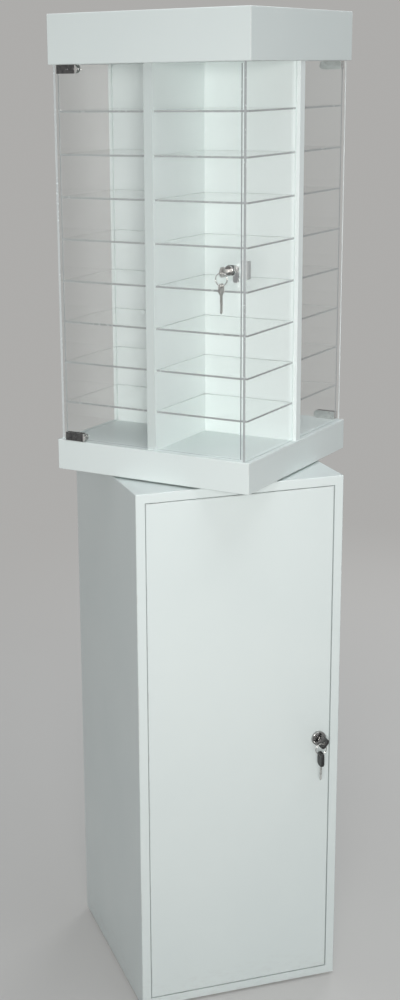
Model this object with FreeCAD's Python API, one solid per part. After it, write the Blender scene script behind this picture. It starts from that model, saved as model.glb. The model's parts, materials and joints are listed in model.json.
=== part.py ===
import FreeCAD, Part
import math
import os
from FreeCAD import Vector

# Rotating acrylic display case on a locking storage pedestal, in millimetres.
# The origin is on the floor under the turntable's axis, +Z is up and the cabinet's door faces -Y.
# The tower is drawn square to its own axes, door side to -Y, and then turned on the turntable.

# Pose and fits
tower_turn_deg = -48.9
running_fit = 0.05
loose_fit = 0.15
cut_overrun = 1.0
edge_chamfer = 1.0
parallel_tolerance = 0.01

# Cabinet carcass
cabinet_width = 350.0
cabinet_depth = 350.0
cabinet_height = 900.0
board_thickness = 15.0
pad_height = 4.0
pad_width = 24.0
pad_inset = 6.0
spline_reach = 6.0
spline_thickness = 4.0
spline_end_inset = 30.0
spline_end_room = 0.5

# Inner shelf on two cleats
inner_shelf_rise = 420.0
inner_shelf_front_gap = 60.0
inner_shelf_side_gap = 0.5
cleat_width = 15.0
cleat_height = 20.0
cleat_inset = 20.0

# Cabinet door and its hidden pivots
door_reveal = 1.4
pivot_inset = 20.0
pivot_pin_radius = 3.0
pivot_pin_embed = 25.0
pivot_bush_wall = 2.0
pivot_bush_depth = 11.0
pin_end_room = 0.5

# Turntable bearing
riser_width = 160.0
bearing_width = 150.0
bearing_corner = 12.0
bearing_plate_thickness = 4.0
bearing_plate_gap = 3.0
race_radius = 56.0
ball_radius = 3.0
ball_room = 0.05
ball_count = 8
ball_sides = 8
ball_bands = 4

# Tray and cap of the tower
tower_width = 350.0
turntable_gap = 3.0
tray_height = 50.0
deck_thickness = 15.0
skirt_thickness = 15.0
case_height = 588.0
cap_height = 75.0
soffit_thickness = 15.0
cap_top_thickness = 15.0
fascia_thickness = 15.0

# Partition, fixed acrylic panels and shelves
wall_thickness = 15.0
wall_end_inset = 2.0
wall_door_gap = 0.5
acrylic_thickness = 4.0
panel_inset = 8.0
panel_groove_depth = 4.0
panel_wall_groove_depth = 3.0
panel_top_room = 0.5
shelf_thickness = 3.0
shelf_count = 8
first_shelf_rise = 59.8
top_cell_height = 68.1
shelf_groove_depth = 3.0
shelf_panel_gap = 0.3
shelf_door_gap = 5.5

# Acrylic doors on pivot hinges
door_inset = 3.0
door_side_gap = 4.5
door_end_gap = 3.0
hinge_length = 38.0
hinge_height = 13.0
hinge_depth = 11.0
hinge_pivot_inset = 5.5
hinge_float = 0.3
hinge_pin_radius = 2.0
hinge_pin_depth = 8.5

# Display door locks
show_lock_edge_inset = 18.5
show_lock_below_tier = 5
show_lock_head_radius = 7.5
show_lock_head_thickness = 3.5
show_lock_barrel_radius = 6.0
show_lock_barrel_reach = 16.0
show_lock_plug_radius = 4.0
show_lock_nut_width = 15.0
show_lock_nut_thickness = 4.0
show_lock_cam_reach = 21.0
show_lock_cam_width = 9.0
show_strike_height = 27.0
show_strike_length = 13.0
show_strike_foot = 12.0

# Cabinet door lock
cabinet_lock_edge_inset = 20.6
cabinet_lock_head_radius = 12.5
cabinet_lock_head_thickness = 6.0
cabinet_lock_barrel_radius = 9.0
cabinet_lock_barrel_reach = 9.0
cabinet_lock_plug_radius = 6.0
cabinet_lock_nut_width = 22.0
cabinet_lock_nut_thickness = 4.0
cabinet_lock_cam_reach = 20.0
cabinet_lock_cam_width = 12.0
cabinet_strike_height = 30.0
cabinet_strike_length = 11.0
cabinet_strike_foot = 14.0

# What both lock sizes share
cam_thickness = 2.0
cam_gap = 0.2
cam_end_room = 0.5
strike_thickness = 1.5
strike_clearance = 1.5
plug_recess = 0.5
barrel_flats_share = 0.86
nut_sides = 6
tail_width_share = 1.1
cam_corner_share = 0.5

# Keys, key rings and spare keys
key_thickness = 2.0
key_blade_width = 5.0
key_hole_radius = 2.2
bow_corner_share = 0.3
bit_place_shares = (0.22, 0.4, 0.58, 0.74)
bit_depth_shares = (0.3, 0.16, 0.36, 0.22)
bit_half_width_share = 0.07
tip_share = 0.12
show_key_blade_length = 18.0
show_key_neck_length = 10.5
show_key_bow_length = 17.0
show_key_bow_height = 15.0
show_key_bow_thickness = 2.4
cabinet_key_blade_length = 23.0
cabinet_key_neck_length = 3.0
cabinet_key_bow_length = 24.0
cabinet_key_bow_height = 17.0
cabinet_key_bow_thickness = 4.0
cabinet_key_lean_deg = 38.0
key_hole_inset = 4.8
ring_radius = 9.5
ring_wall = 1.4
ring_breadth = 1.6
ring_room = 0.5
ring_sides = 24

# Places that follow from the sizes above
half_width = cabinet_width / 2
half_depth = cabinet_depth / 2
cabinet_base = pad_height
cabinet_top = cabinet_base + cabinet_height
inside_half_width = half_width - board_thickness
inside_bottom = cabinet_base + board_thickness
inside_top = cabinet_top - board_thickness
inside_back = half_depth - board_thickness
door_half_width = inside_half_width - door_reveal
door_bottom = inside_bottom + door_reveal
door_top = inside_top - door_reveal
door_front = -half_depth
door_inner = door_front + board_thickness
pivot_x = pivot_inset - door_half_width
pivot_y = door_front + board_thickness / 2
cabinet_lock_x = door_half_width - cabinet_lock_edge_inset
cabinet_middle = (inside_bottom + inside_top) / 2
cabinet_lock_z = cabinet_middle

half_tower = tower_width / 2
tray_bottom = cabinet_top + turntable_gap
tray_top = tray_bottom + tray_height
deck_bottom = tray_top - deck_thickness
bearing_height = bearing_plate_thickness * 2 + bearing_plate_gap
bearing_bottom = deck_bottom - bearing_height
case_top = tray_top + case_height
cap_top = case_top + cap_height
case_middle = (tray_top + case_top) / 2

half_wall = wall_thickness / 2
panel_outer = half_tower - panel_inset
panel_inner = panel_outer - acrylic_thickness
show_door_outer = half_tower - door_inset
show_door_inner = show_door_outer - acrylic_thickness
show_door_half = panel_inner - door_side_gap
show_door_bottom = tray_top + door_end_gap
show_door_top = case_top - door_end_gap
along_half = show_door_inner - wall_door_gap
across_half = half_tower - wall_end_inset
hinge_x = hinge_pivot_inset - show_door_half
hinge_y = acrylic_thickness / 2 - show_door_outer
hinge_web = door_end_gap - hinge_float
show_lock_x = show_door_half - show_lock_edge_inset
shelf_run = case_height - first_shelf_rise - shelf_thickness - top_cell_height
shelf_pitch = shelf_run / (shelf_count - 1)


def tier_bottom(tier):
    return tray_top + first_shelf_rise + shelf_pitch * (tier - 1)


show_lock_z = tier_bottom(show_lock_below_tier) + shelf_thickness / 2 - shelf_pitch / 2

up = Vector(0, 0, 1)
inward = Vector(0, 1, 0)
across = Vector(1, 0, 0)
origin = Vector(0, 0, 0)
half_turn_deg = 180.0
quarter_turn_deg = 90.0
full_turn_deg = 360.0
corner_signs = ((-1, -1), (1, -1), (1, 1), (-1, 1))


# Basic solids
def block(x_low, x_high, y_low, y_high, z_low, z_high):
    size = (x_high - x_low, y_high - y_low, z_high - z_low)
    return Part.makeBox(*size, Vector(x_low, y_low, z_low))


def rod(radius, start, direction, length):
    return Part.makeCylinder(radius, length, start, direction)


def eased_block(*limits):
    plain = block(*limits)
    return plain.makeChamfer(edge_chamfer, plain.Edges)


def ring_of_points(sides, radius, height):
    angles = [math.radians(full_turn_deg / sides * step) for step in range(sides)]
    return [Vector(radius * math.cos(angle), radius * math.sin(angle), height) for angle in angles]


def edges_along(shape, direction):
    picked = []
    for edge in shape.Edges:
        line = edge.Vertexes[1].Point - edge.Vertexes[0].Point
        if line.cross(direction).Length < parallel_tolerance:
            picked.append(edge)
    return picked


def closed_wire(points):
    return Part.makePolygon(list(points) + [points[0]])


def prism(points, direction):
    return Part.Face(closed_wire(points)).extrude(direction)


def revolved(points, centre, axis):
    return Part.Face(closed_wire(points)).revolve(centre, axis, full_turn_deg)


def turned(shape, degrees, axis=up, centre=origin):
    copy = shape.copy()
    copy.rotate(centre, axis, degrees)
    return copy


def moved(shape, x, y, z):
    copy = shape.copy()
    copy.translate(Vector(x, y, z))
    return copy


def flipped(shape, height):
    return shape.mirror(Vector(0, 0, height), up)


def joined(first, *others):
    return first.fuse(list(others)).removeSplitter()


# Cabinet
def cabinet_envelope():
    limits = (-half_width, half_width, -half_depth, half_depth, cabinet_base, cabinet_top)
    return eased_block(*limits)


def splines(fit, end_room):
    reach_y = half_depth - spline_end_inset + end_room
    half = spline_thickness / 2 + fit
    strips = []
    for side in (-1, 1):
        near = side * inside_half_width - spline_reach - fit
        far = side * inside_half_width + spline_reach + fit
        for middle in (cabinet_base + board_thickness / 2, cabinet_top - board_thickness / 2):
            strips.append(block(near, far, -reach_y, reach_y, middle - half, middle + half))
    return strips


def shelf_cleats():
    front = door_inner + inner_shelf_front_gap + cleat_inset
    back = inside_back - cleat_inset
    top = inside_bottom + inner_shelf_rise
    cleat = block(inside_half_width - cleat_width, inside_half_width, front, back, top - cleat_height, top)
    return [cleat, cleat.mirror(origin, across)]


def floor_pads():
    pads = []
    for sign_x, sign_y in corner_signs:
        middle_x = sign_x * (half_width - pad_inset - pad_width / 2)
        middle_y = sign_y * (half_depth - pad_inset - pad_width / 2)
        half = pad_width / 2
        pads.append(block(middle_x - half, middle_x + half, middle_y - half, middle_y + half, 0, pad_height))
    return pads


def cabinet_bush():
    radius = pivot_pin_radius + running_fit + pivot_bush_wall
    length = pivot_bush_depth + door_reveal - running_fit
    start = Vector(pivot_x, pivot_y, inside_bottom - pivot_bush_depth)
    bore_start = start - up * cut_overrun
    bore = rod(pivot_pin_radius + running_fit, bore_start, up, length + cut_overrun * 2)
    return rod(radius, start, up, length).cut(bore)


def carcass_cuts():
    seat_radius = pivot_pin_radius + running_fit + pivot_bush_wall + running_fit
    seat_depth = pivot_bush_depth + running_fit
    lower_seat = rod(seat_radius, Vector(pivot_x, pivot_y, inside_bottom), up * -1, seat_depth)
    return splines(running_fit, spline_end_room) + [lower_seat, flipped(lower_seat, cabinet_middle)]


def carcass_boards():
    shell = cabinet_envelope()
    cuts = carcass_cuts()
    width = (-inside_half_width, inside_half_width)
    depth = (-half_depth, half_depth)
    height = (cabinet_base, cabinet_top)
    regions = {
        "cabinet_left_side": block(-half_width, -inside_half_width, *depth, *height),
        "cabinet_right_side": block(inside_half_width, half_width, *depth, *height),
        "cabinet_top_panel": block(*width, *depth, inside_top, cabinet_top),
        "cabinet_bottom_panel": block(*width, *depth, cabinet_base, inside_bottom),
        "cabinet_back_panel": block(*width, inside_back, half_depth, inside_bottom, inside_top),
    }
    return {name: shell.common(region).cut(cuts) for name, region in regions.items()}


def inner_shelf():
    reach = inside_half_width - inner_shelf_side_gap
    front = door_inner + inner_shelf_front_gap
    bottom = inside_bottom + inner_shelf_rise
    return block(-reach, reach, front, inside_back, bottom, bottom + board_thickness)


# Cabinet door
def cabinet_pins():
    bottom = inside_bottom - pivot_bush_depth + pin_end_room
    start = Vector(pivot_x, pivot_y, bottom)
    pin = rod(pivot_pin_radius, start, up, door_bottom + pivot_pin_embed - bottom)
    return [pin, flipped(pin, cabinet_middle)]


def cabinet_door_panel():
    plain = block(-door_half_width, door_half_width, door_front, door_inner, door_bottom, door_top)
    front_edges = [edge for edge in plain.Edges if edge.BoundBox.YMax < door_inner - running_fit]
    panel = plain.makeChamfer(edge_chamfer, front_edges)
    hole_start = Vector(pivot_x, pivot_y, door_bottom - cut_overrun)
    hole_length = pivot_pin_embed + cut_overrun + running_fit
    pin_hole = rod(pivot_pin_radius + running_fit, hole_start, up, hole_length)
    lock_start = Vector(cabinet_lock_x, door_front - cut_overrun, cabinet_lock_z)
    lock_radius = cabinet_lock_barrel_radius + loose_fit
    lock_hole = rod(lock_radius, lock_start, inward, board_thickness + cut_overrun * 2)
    return panel.cut([pin_hole, flipped(pin_hole, cabinet_middle), lock_hole])


# Cam locks, drawn on the axis +Y with the door's outer face at Y = 0
def lock_barrel(head_radius, head_thickness, barrel_radius, depth, plug_radius):
    head = rod(head_radius, Vector(0, -head_thickness, 0), inward, head_thickness)
    body = rod(barrel_radius, origin, inward, depth)
    half_flats = barrel_radius * barrel_flats_share
    flats = block(-half_flats, half_flats, -depth, depth * 2, -barrel_radius, barrel_radius)
    bore_start = Vector(0, -head_thickness - cut_overrun, 0)
    bore_length = head_thickness + depth + cut_overrun * 2
    bore = rod(plug_radius + running_fit, bore_start, inward, bore_length)
    return joined(head, body.common(flats)).cut(bore)


def lock_nut(width, thickness, barrel_radius, door_thickness):
    corner = width / 2 / math.cos(math.radians(half_turn_deg / nut_sides))
    standing = prism(ring_of_points(nut_sides, corner, 0), up * -thickness)
    hexagon = moved(turned(standing, quarter_turn_deg, across), 0, door_thickness, 0)
    bore_start = Vector(0, door_thickness - cut_overrun, 0)
    bore = rod(barrel_radius + running_fit, bore_start, inward, thickness + cut_overrun * 2)
    return hexagon.cut(bore)


def lock_plug(head_thickness, depth, plug_radius, blade_length, lean):
    front = plug_recess - head_thickness
    body = rod(plug_radius, Vector(0, front, 0), inward, depth + cam_gap - front)
    half_tail = plug_radius * tail_width_share / 2
    tail_end = depth + cam_gap + cam_thickness + cam_end_room
    tail = block(-half_tail, half_tail, depth, tail_end, -half_tail, half_tail)
    half_slot = key_thickness / 2 + loose_fit
    half_height = key_blade_width / 2 + loose_fit
    slot_end = front + blade_length + loose_fit
    slot = block(-half_slot, half_slot, front - cut_overrun, slot_end, -half_height, half_height)
    return joined(body, tail).cut(turned(slot, lean, inward))


def lock_cam(depth, plug_radius, reach, width):
    start = depth + cam_gap
    half = width / 2
    corner = half * cam_corner_share
    outline = (
        Vector(-half, start, half - corner),
        Vector(corner - half, start, half),
        Vector(half - corner, start, half),
        Vector(half, start, half - corner),
        Vector(half, start, corner - reach),
        Vector(half - corner, start, -reach),
        Vector(corner - half, start, -reach),
        Vector(-half, start, corner - reach),
    )
    arm = prism(outline, inward * cam_thickness)
    half_hole = plug_radius * tail_width_share / 2 + running_fit
    hole = block(-half_hole, half_hole, start - cut_overrun, start + cam_thickness + cut_overrun,
                 -half_hole, half_hole)
    return arm.cut(hole)


def key(blade_length, neck_length, bow_length, bow_height, bow_thickness):
    half = key_blade_width / 2
    tip = blade_length * tip_share
    half_bit = blade_length * bit_half_width_share
    outline = [Vector(-key_thickness / 2, -neck_length, -half)]
    for place, depth in zip(bit_place_shares, bit_depth_shares):
        middle = blade_length * place
        outline.append(Vector(-key_thickness / 2, middle - half_bit, -half))
        outline.append(Vector(-key_thickness / 2, middle, key_blade_width * depth - half))
        outline.append(Vector(-key_thickness / 2, middle + half_bit, -half))
    outline.append(Vector(-key_thickness / 2, blade_length - tip, -half))
    outline.append(Vector(-key_thickness / 2, blade_length, 0))
    outline.append(Vector(-key_thickness / 2, blade_length - tip, half))
    outline.append(Vector(-key_thickness / 2, -neck_length, half))
    blade = prism(outline, across * key_thickness)
    bow_end = -neck_length - bow_length
    bow = block(-bow_thickness / 2, bow_thickness / 2, bow_end, -neck_length,
                -bow_height / 2, bow_height / 2)
    corner = min(bow_length, bow_height) * bow_corner_share
    bow = bow.makeChamfer(corner, edges_along(bow, across))
    hole_start = Vector(-bow_thickness, bow_end + key_hole_inset, 0)
    hole = rod(key_hole_radius, hole_start, across, bow_thickness * 2)
    return joined(blade, bow).cut(hole)


def key_hole_y(face_y, neck_length, bow_length):
    return face_y - neck_length - bow_length + key_hole_inset


def split_ring():
    outer = prism(ring_of_points(ring_sides, ring_radius + ring_wall / 2, 0), up * ring_breadth)
    inner_points = ring_of_points(ring_sides, ring_radius - ring_wall / 2, -cut_overrun)
    inner = prism(inner_points, up * (ring_breadth + cut_overrun * 2))
    flat = moved(outer.cut(inner), 0, 0, -ring_breadth / 2)
    return turned(flat, quarter_turn_deg, across)


def ring_seat():
    return key_hole_radius - ring_wall / 2 - ring_room


def hanging_set(spare, hole_y, hole_reach, lean):
    drop = ring_seat() + ring_radius
    ring_x = -drop * math.sin(math.radians(lean))
    ring_z = -drop * math.cos(math.radians(lean))
    ring = moved(split_ring(), ring_x, hole_y, ring_z)
    hung = turned(spare, -quarter_turn_deg, across)
    return ring, moved(hung, ring_x, hole_y, ring_z - drop - hole_reach)


def cam_lock(sizes, door_thickness, key_sizes, lean):
    head_radius, head_thickness, barrel_radius, reach, plug_radius, nut, cam = sizes
    depth = door_thickness + reach
    blade_length, neck_length, bow_length = key_sizes[:3]
    face_y = plug_recess - head_thickness
    inserted = key(*key_sizes)
    hole_y = key_hole_y(face_y, neck_length, bow_length)
    hole_reach = neck_length + bow_length - key_hole_inset
    ring, spare = hanging_set(inserted, hole_y, hole_reach, lean)
    return {
        "lock_barrel": lock_barrel(head_radius, head_thickness, barrel_radius, depth, plug_radius),
        "lock_nut": lock_nut(*nut, barrel_radius, door_thickness),
        "lock_plug": lock_plug(head_thickness, depth, plug_radius, blade_length, lean),
        "lock_cam": lock_cam(depth, plug_radius, *cam),
        "lock_key": moved(turned(inserted, lean, inward), 0, face_y, 0),
        "key_ring": ring,
        "spare_key": spare,
    }


def show_lock():
    sizes = (
        show_lock_head_radius,
        show_lock_head_thickness,
        show_lock_barrel_radius,
        show_lock_barrel_reach,
        show_lock_plug_radius,
        (show_lock_nut_width, show_lock_nut_thickness),
        (show_lock_cam_reach, show_lock_cam_width),
    )
    key_sizes = (
        show_key_blade_length,
        show_key_neck_length,
        show_key_bow_length,
        show_key_bow_height,
        show_key_bow_thickness,
    )
    pieces = cam_lock(sizes, acrylic_thickness, key_sizes, 0)
    return {name: moved(piece, show_lock_x, -show_door_outer, show_lock_z) for name, piece in pieces.items()}


def cabinet_lock():
    sizes = (
        cabinet_lock_head_radius,
        cabinet_lock_head_thickness,
        cabinet_lock_barrel_radius,
        cabinet_lock_barrel_reach,
        cabinet_lock_plug_radius,
        (cabinet_lock_nut_width, cabinet_lock_nut_thickness),
        (cabinet_lock_cam_reach, cabinet_lock_cam_width),
    )
    key_sizes = (
        cabinet_key_blade_length,
        cabinet_key_neck_length,
        cabinet_key_bow_length,
        cabinet_key_bow_height,
        cabinet_key_bow_thickness,
    )
    pieces = cam_lock(sizes, board_thickness, key_sizes, cabinet_key_lean_deg)
    return {name: moved(piece, cabinet_lock_x, door_front, cabinet_lock_z) for name, piece in pieces.items()}


def strike(wall_x, flange_outer, foot_outer, middle_z, length, foot, height):
    low = middle_z - height / 2
    high = middle_z + height / 2
    flange = block(wall_x - length, wall_x, flange_outer, flange_outer + strike_thickness, low, high)
    plate = block(wall_x - strike_thickness, wall_x, foot_outer, foot_outer + foot, low, high)
    return joined(flange, plate)


def cabinet_strike():
    cam_y = door_inner + cabinet_lock_barrel_reach + cam_gap
    flange_outer = cam_y - strike_clearance - strike_thickness
    return strike(inside_half_width, flange_outer, flange_outer, cabinet_lock_z,
                  cabinet_strike_length, cabinet_strike_foot, cabinet_strike_height)


def show_strike():
    cam_y = show_lock_barrel_reach + cam_gap - show_door_inner
    flange_inner = cam_y - strike_clearance
    return strike(panel_inner, flange_inner - strike_thickness, flange_inner - show_strike_foot,
                  show_lock_z, show_strike_length, show_strike_foot, show_strike_height)


# Turntable
def ball_height():
    return bearing_bottom + bearing_height / 2


def ball_race():
    reach = ball_radius * math.sqrt(2) + ball_room
    middle = ball_height()
    diamond = (
        Vector(race_radius - reach, 0, middle),
        Vector(race_radius, 0, middle - reach),
        Vector(race_radius + reach, 0, middle),
        Vector(race_radius, 0, middle + reach),
    )
    return revolved(diamond, origin, up)


def bearing_plate(bottom):
    half = bearing_width / 2
    plate = block(-half, half, -half, half, bottom, bottom + bearing_plate_thickness)
    plate = plate.makeChamfer(bearing_corner, edges_along(plate, up))
    return plate.cut(ball_race())


def bearing_ball():
    bands = []
    for step in range(1, ball_bands):
        tilt = math.radians(half_turn_deg / ball_bands * step)
        bands.append(ring_of_points(ball_sides, ball_radius * math.sin(tilt), -ball_radius * math.cos(tilt)))
    outlines = [bands[0], bands[-1]]
    for low, high in zip(bands, bands[1:]):
        for here in range(ball_sides):
            after = (here + 1) % ball_sides
            outlines.append((low[here], low[after], high[after], high[here]))
    facets = [Part.Face(closed_wire(outline)) for outline in outlines]
    return Part.makeSolid(Part.makeShell(facets))


def bearing_balls():
    places = ring_of_points(ball_count, race_radius, ball_height())
    return [moved(bearing_ball(), *place) for place in places]


def turntable_riser():
    half = riser_width / 2
    return block(-half, half, -half, half, cabinet_top, bearing_bottom)


# Tray and cap
def tower_envelope(bottom, top):
    return eased_block(-half_tower, half_tower, -half_tower, half_tower, bottom, top)


def slab(bottom, top):
    return block(-half_tower, half_tower, -half_tower, half_tower, bottom, top)


def mitred_boards(shell, thickness, bottom, top):
    inner = half_tower - thickness
    outline = (
        Vector(-half_tower, -half_tower, bottom),
        Vector(half_tower, -half_tower, bottom),
        Vector(inner, -inner, bottom),
        Vector(-inner, -inner, bottom),
    )
    board = prism(outline, up * (top - bottom))
    return [shell.common(turned(board, quarter_turn_deg * step)) for step in range(4)]


def hinge_seat():
    depth = hinge_pin_depth + pin_end_room
    return rod(hinge_pin_radius + running_fit, Vector(hinge_x, hinge_y, tray_top), up * -1, depth)


def both_sides(shape):
    return [shape, turned(shape, half_turn_deg)]


def deck_cuts():
    return panel_grooves() + both_sides(hinge_seat())


def soffit_cuts():
    return panel_grooves() + both_sides(flipped(hinge_seat(), case_middle))


# Partition, panels and shelves
def panel_limits(sign_x, sign_y, side_room, end_room, top_room):
    near = sign_x * (panel_inner - side_room)
    far = sign_x * (panel_outer + side_room)
    wall_end = sign_y * (half_wall - panel_wall_groove_depth)
    free_end = sign_y * (show_door_outer + end_room)
    low = tray_top - panel_groove_depth
    high = case_top + panel_groove_depth - top_room
    return (min(near, far), max(near, far), min(wall_end, free_end), max(wall_end, free_end), low, high)


def fixed_panel(sign_x, sign_y):
    return block(*panel_limits(sign_x, sign_y, 0, 0, panel_top_room))


def panel_grooves():
    return [block(*panel_limits(*signs, loose_fit, loose_fit, 0)) for signs in corner_signs]


def shelf_limits(sign_x, sign_y, tier, seat_room):
    root = half_wall - shelf_groove_depth
    side = sign_x * (panel_inner - shelf_panel_gap)
    front = sign_y * (show_door_inner - shelf_door_gap)
    root_x = sign_x * (root + loose_fit - seat_room)
    root_y = sign_y * (root + loose_fit - seat_room)
    low = tier_bottom(tier)
    high = low + shelf_thickness + seat_room
    return (min(root_x, side), max(root_x, side), min(root_y, front), max(root_y, front), low, high)


def shelf_tier(tier):
    return [block(*shelf_limits(*signs, tier, 0)) for signs in corner_signs]


def shelf_grooves():
    grooves = []
    for tier in range(1, shelf_count + 1):
        grooves += [block(*shelf_limits(*signs, tier, loose_fit)) for signs in corner_signs]
    return grooves


def partition_along():
    wall = block(-half_wall, half_wall, -along_half, along_half, tray_top, case_top)
    gap = half_wall + loose_fit
    lap = block(-gap, gap, -gap, gap, case_middle, case_top + cut_overrun)
    return wall.cut([lap] + shelf_grooves())


def partition_across():
    wall = block(-across_half, across_half, -half_wall, half_wall, tray_top, case_top)
    gap = half_wall + loose_fit
    lap = block(-gap, gap, -gap, gap, tray_top - cut_overrun, case_middle)
    return wall.cut([lap] + shelf_grooves() + panel_grooves())


# Acrylic doors
def show_door():
    limits = (-show_door_half, show_door_half, -show_door_outer, -show_door_inner)
    panel = block(*limits, show_door_bottom, show_door_top)
    start = Vector(show_lock_x, -show_door_outer - cut_overrun, show_lock_z)
    radius = show_lock_barrel_radius + loose_fit
    return panel.cut(rod(radius, start, inward, acrylic_thickness + cut_overrun * 2))


def hinge_clip():
    bottom = show_door_bottom - hinge_web
    top = bottom + hinge_height
    left = -show_door_half
    round_x = left + hinge_length - hinge_height / 2
    front = hinge_y - hinge_depth / 2
    low_end = Vector(round_x, front, bottom)
    high_end = Vector(round_x, front, top)
    nose = Vector(left + hinge_length, front, (bottom + top) / 2)
    low_start = Vector(left, front, bottom)
    high_start = Vector(left, front, top)
    outline = Part.Wire([
        Part.LineSegment(low_start, low_end).toShape(),
        Part.Arc(low_end, nose, high_end).toShape(),
        Part.LineSegment(high_end, high_start).toShape(),
        Part.LineSegment(high_start, low_start).toShape(),
    ])
    body = Part.Face(outline).extrude(inward * hinge_depth)
    half_slot = acrylic_thickness / 2 + loose_fit
    slot = block(left - cut_overrun, left + hinge_length + cut_overrun, hinge_y - half_slot,
                 hinge_y + half_slot, show_door_bottom, top + cut_overrun)
    pin_bottom = tray_top - hinge_pin_depth
    pin = rod(hinge_pin_radius, Vector(hinge_x, hinge_y, pin_bottom), up, bottom - pin_bottom)
    return joined(body.cut(slot), pin)


def show_hinges():
    clip = hinge_clip()
    return [clip, flipped(clip, case_middle)]


# Every node of the part, each a solid or a list of like solids
def cabinet_nodes():
    nodes = carcass_boards()
    lower_bush = cabinet_bush()
    nodes["cabinet_inner_shelf"] = inner_shelf()
    nodes["shelf_cleats"] = shelf_cleats()
    nodes["floor_pads"] = floor_pads()
    nodes["carcass_splines"] = splines(0, 0)
    nodes["cabinet_pivot_bushes"] = [lower_bush, flipped(lower_bush, cabinet_middle)]
    nodes["cabinet_strike_plate"] = cabinet_strike()
    nodes["cabinet_door_panel"] = cabinet_door_panel()
    nodes["cabinet_door_pins"] = cabinet_pins()
    for name, piece in cabinet_lock().items():
        nodes["cabinet_" + name] = piece
    nodes["turntable_riser"] = turntable_riser()
    nodes["bearing_lower_plate"] = bearing_plate(bearing_bottom)
    return nodes


def tower_nodes():
    tray_shell = tower_envelope(tray_bottom, tray_top)
    cap_shell = tower_envelope(case_top, cap_top)
    soffit_top = case_top + soffit_thickness
    lid_bottom = cap_top - cap_top_thickness
    nodes = {
        "bearing_upper_plate": bearing_plate(deck_bottom - bearing_plate_thickness),
        "bearing_balls": bearing_balls(),
        "tray_deck": tray_shell.common(slab(deck_bottom, tray_top)).cut(deck_cuts()),
        "tray_skirt": mitred_boards(tray_shell, skirt_thickness, tray_bottom, deck_bottom),
        "cap_soffit": cap_shell.common(slab(case_top, soffit_top)).cut(soffit_cuts()),
        "cap_fascia": mitred_boards(cap_shell, fascia_thickness, soffit_top, lid_bottom),
        "cap_top_panel": cap_shell.common(slab(lid_bottom, cap_top)),
        "partition_along": partition_along(),
        "partition_across": partition_across(),
        "left_front_panel": fixed_panel(-1, -1),
        "right_front_panel": fixed_panel(1, -1),
        "right_rear_panel": fixed_panel(1, 1),
        "left_rear_panel": fixed_panel(-1, 1),
        "display_lock_strikes": both_sides(show_strike()),
    }
    for tier in range(1, shelf_count + 1):
        nodes["shelf_tier_" + str(tier)] = shelf_tier(tier)
    return nodes


def display_door_nodes(prefix, with_keys):
    nodes = {prefix + "_door_panel": show_door(), prefix + "_door_hinges": show_hinges()}
    for name, piece in show_lock().items():
        if with_keys or "key" not in name:
            nodes[prefix + "_" + name] = piece
    return nodes


def save(nodes, turn_deg):
    for name, shape in nodes.items():
        group = Part.makeCompound(shape) if isinstance(shape, list) else shape
        turned(group, turn_deg).exportStep("parts/" + name + ".step")


os.makedirs("parts", exist_ok=True)
save(cabinet_nodes(), 0)
save(tower_nodes(), tower_turn_deg)
save(display_door_nodes("front", True), tower_turn_deg)
save(display_door_nodes("rear", False), tower_turn_deg + half_turn_deg)
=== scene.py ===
import json
import math
import bmesh
import bpy
from mathutils import Matrix, Vector


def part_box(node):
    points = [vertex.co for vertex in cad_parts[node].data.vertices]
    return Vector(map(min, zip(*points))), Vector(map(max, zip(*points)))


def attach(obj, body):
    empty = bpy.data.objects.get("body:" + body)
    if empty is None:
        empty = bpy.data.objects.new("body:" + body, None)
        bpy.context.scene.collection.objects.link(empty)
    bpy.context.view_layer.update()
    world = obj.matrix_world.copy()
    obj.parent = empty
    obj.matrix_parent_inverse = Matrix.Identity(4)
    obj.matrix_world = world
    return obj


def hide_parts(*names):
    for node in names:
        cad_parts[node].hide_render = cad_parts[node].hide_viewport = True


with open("model.json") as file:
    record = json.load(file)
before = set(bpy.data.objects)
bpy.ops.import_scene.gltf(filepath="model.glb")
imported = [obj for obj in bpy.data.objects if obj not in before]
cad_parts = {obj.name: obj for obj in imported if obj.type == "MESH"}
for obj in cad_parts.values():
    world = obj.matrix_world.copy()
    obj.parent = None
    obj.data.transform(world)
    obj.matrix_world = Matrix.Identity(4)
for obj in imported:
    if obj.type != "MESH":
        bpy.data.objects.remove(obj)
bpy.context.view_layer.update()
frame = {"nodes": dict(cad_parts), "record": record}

nodes = frame["nodes"]
scene = bpy.context.scene
print("frame loaded,", len(nodes), "nodes")

# where things are, in metres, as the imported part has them
place = {
    "towerTurn": math.radians(-48.9),
    "cabinetLock": (0.138, -0.175, 0.454),
    "frontLock": (0.140, -0.172, 1.24685),  # along the tower's own axes
    "cabinetKeyHole": (0.0, -0.0277, 0.0),  # the hole in the key's bow, from the lock
    "frontKeyHole": (0.0, -0.0257, 0.0),
    "keyLean": math.radians(38),  # the cabinet's key leans in its lock
}
fullTurn = 2 * math.pi
halfTurn = Matrix.Rotation(math.pi, 4, "Z")  # takes a front piece to its twin at the rear
towerMatrix = Matrix.Rotation(place["towerTurn"], 4, "Z")
rearTowerMatrix = halfTurn @ towerMatrix
cabinetLockMatrix = Matrix.Translation(place["cabinetLock"])
frontLockMatrix = towerMatrix @ Matrix.Translation(place["frontLock"])
rearLockMatrix = halfTurn @ frontLockMatrix
acrossAxis = towerMatrix.to_3x3() @ Vector((1, 0, 0))  # along the acrylic doors
inwardAxis = towerMatrix.to_3x3() @ Vector((0, 1, 0))  # from the front door to the rear one
facingShare = 0.5  # a normal with more than this share along an axis faces that way


# small helpers for meshes

edges = {"weldReach": 0.000002, "bevelAngle": 35, "smoothAngle": 34}


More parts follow.
